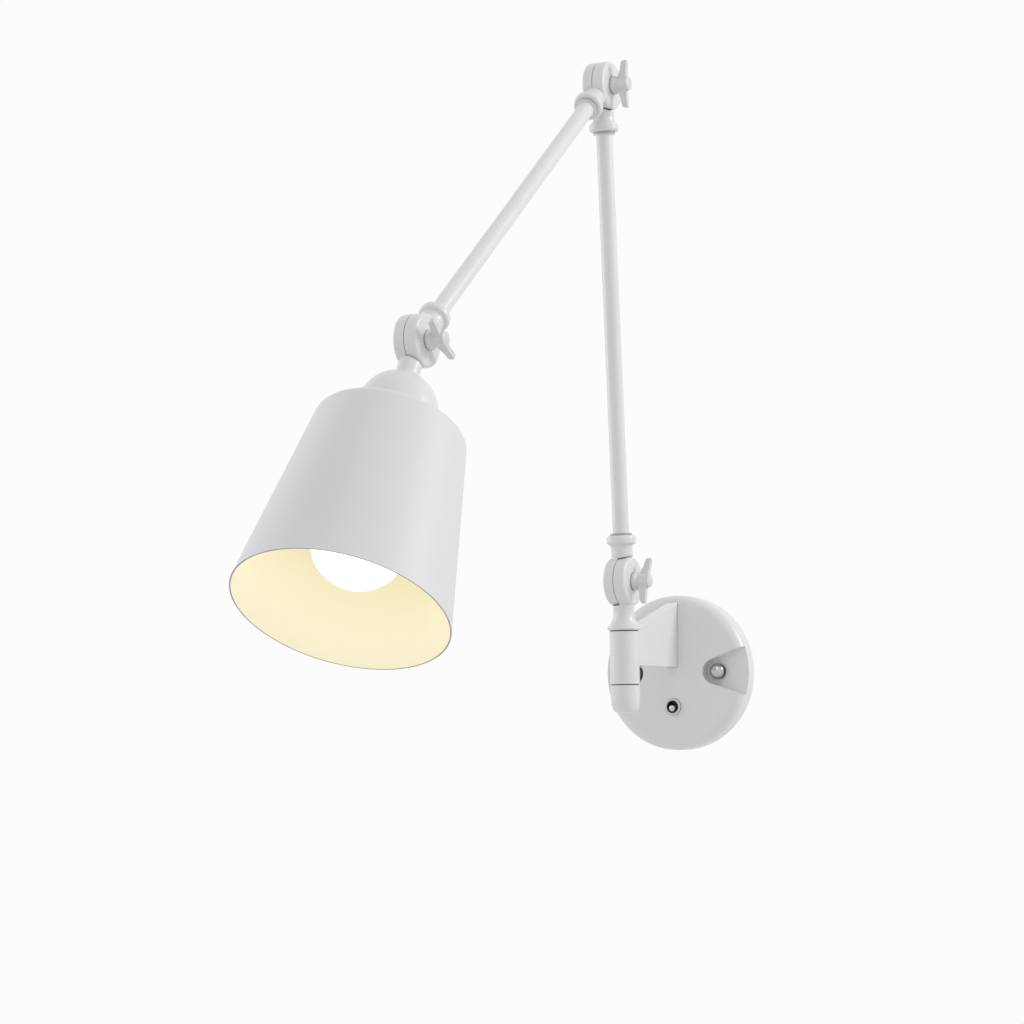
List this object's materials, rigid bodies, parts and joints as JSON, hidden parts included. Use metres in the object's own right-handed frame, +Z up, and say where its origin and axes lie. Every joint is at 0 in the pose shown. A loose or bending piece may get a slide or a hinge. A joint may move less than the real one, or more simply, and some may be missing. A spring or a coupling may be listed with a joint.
{
  "type": "articulating wall lamp",
  "caption": "Wall lamp with a round canopy, a finned swivel bracket, two tubular arms on half-lap knuckles with wing nuts, and a tapered shade over a globe bulb.",
  "frame": {"origin": "middle of the mounting strap on its wall face", "axes": "+Y into the wall, -Y out into the room, +Z up, +X to the right of someone who faces the wall"},
  "size_m": [0.144, 0.591, 0.5182],
  "materials": {
    "white_paint": "satin white powder coat",
    "white_cup": "satin white powder coat",
    "white_shade": "satin white powder coat",
    "bright_nut": "polished",
    "zinc_steel": "zinc plated",
    "bush_plastic": "matte",
    "friction_fibre": "matte",
    "switch_plastic": "matte",
    "holder_plastic": "satin",
    "ring_plastic": "satin",
    "brass_contact": "satin",
    "bulb_white_glass": "opal",
    "bulb_base_metal": "satin"
  },
  "bodies": {
    "wall_base": {"canopy": "white_paint", "mounting_strap": "zinc_steel", "strap_studs": "zinc_steel", "cap_nuts": "bright_nut", "ground_screw": "zinc_steel", "arm_bracket": "white_paint", "bracket_screws": "zinc_steel", "switch_body": "switch_plastic", "switch_ring_nut": "bright_nut", "switch_terminals": "brass_contact", "upper_swivel_bush": "bush_plastic", "lower_swivel_bush": "bush_plastic"},
    "switch_lever": {"switch_lever": "bright_nut"},
    "swivel": {"swivel_spindle": "white_paint", "bottom_cap": "white_paint"},
    "lower_arm": {"lower_arm_foot_fitting": "white_paint", "lower_arm_tube": "white_paint", "lower_arm_elbow_fitting": "white_paint", "base_pivot_bolt": "zinc_steel", "base_friction_disc": "friction_fibre", "base_washer": "zinc_steel", "elbow_pivot_bolt": "zinc_steel", "elbow_friction_disc": "friction_fibre", "elbow_washer": "zinc_steel"},
    "upper_arm": {"upper_arm_elbow_fitting": "white_paint", "upper_arm_tube": "white_paint", "upper_arm_head_fitting": "white_paint"},
    "head": {"head_fitting": "white_paint", "head_pivot_bolt": "zinc_steel", "head_friction_disc": "friction_fibre", "head_washer": "zinc_steel", "socket_cup": "white_cup", "cup_nut": "zinc_steel", "lampholder_body": "holder_plastic", "lampholder_shell": "brass_contact", "lampholder_contact": "brass_contact", "shade": "white_shade", "shade_ring": "ring_plastic", "bulb_glass": "bulb_white_glass", "bulb_base": "bulb_base_metal", "bulb_contact": "brass_contact"},
    "base_wing_nut": {"base_wing_nut": "white_paint"},
    "elbow_wing_nut": {"elbow_wing_nut": "white_paint"},
    "head_wing_nut": {"head_wing_nut": "white_paint"}
  },
  "joints": [
    {"name": "swivel_turn", "type": "hinge", "parent": "wall_base", "child": "swivel", "pos_m": [0, -0.107, 0], "axis": [0, 0, 1], "range_deg": [-90, 90]},
    {"name": "base_knuckle_tilt", "type": "hinge", "parent": "swivel", "child": "lower_arm", "pos_m": [0, -0.107, 0.0664], "axis": [1, 0, 0], "range_deg": [-12, 90]},
    {"name": "elbow_tilt", "type": "hinge", "parent": "lower_arm", "child": "upper_arm", "pos_m": [0, -0.12657, 0.43989], "axis": [1, 0, 0], "range_deg": [-124, 2]},
    {"name": "head_tilt", "type": "hinge", "parent": "upper_arm", "child": "head", "pos_m": [0, -0.42329, 0.21221], "axis": [1, 0, 0], "range_deg": [-145, 100]},
    {"name": "base_wing_nut_turn", "type": "hinge", "parent": "lower_arm", "child": "base_wing_nut", "pos_m": [0.0164, -0.107, 0.0664], "axis": [1, 0, 0], "range_deg": [0, 180]},
    {"name": "elbow_wing_nut_turn", "type": "hinge", "parent": "lower_arm", "child": "elbow_wing_nut", "pos_m": [0.0164, -0.12657, 0.43989], "axis": [1, 0, 0], "range_deg": [0, 180]},
    {"name": "head_wing_nut_turn", "type": "hinge", "parent": "head", "child": "head_wing_nut", "pos_m": [0.0164, -0.42329, 0.21221], "axis": [1, 0, 0], "range_deg": [0, 180]},
    {"name": "switch_lever_tilt", "type": "hinge", "parent": "wall_base", "child": "switch_lever", "pos_m": [0, -0.015, -0.0266], "axis": [1, 0, 0], "range_deg": [-20, 0]}
  ]
}
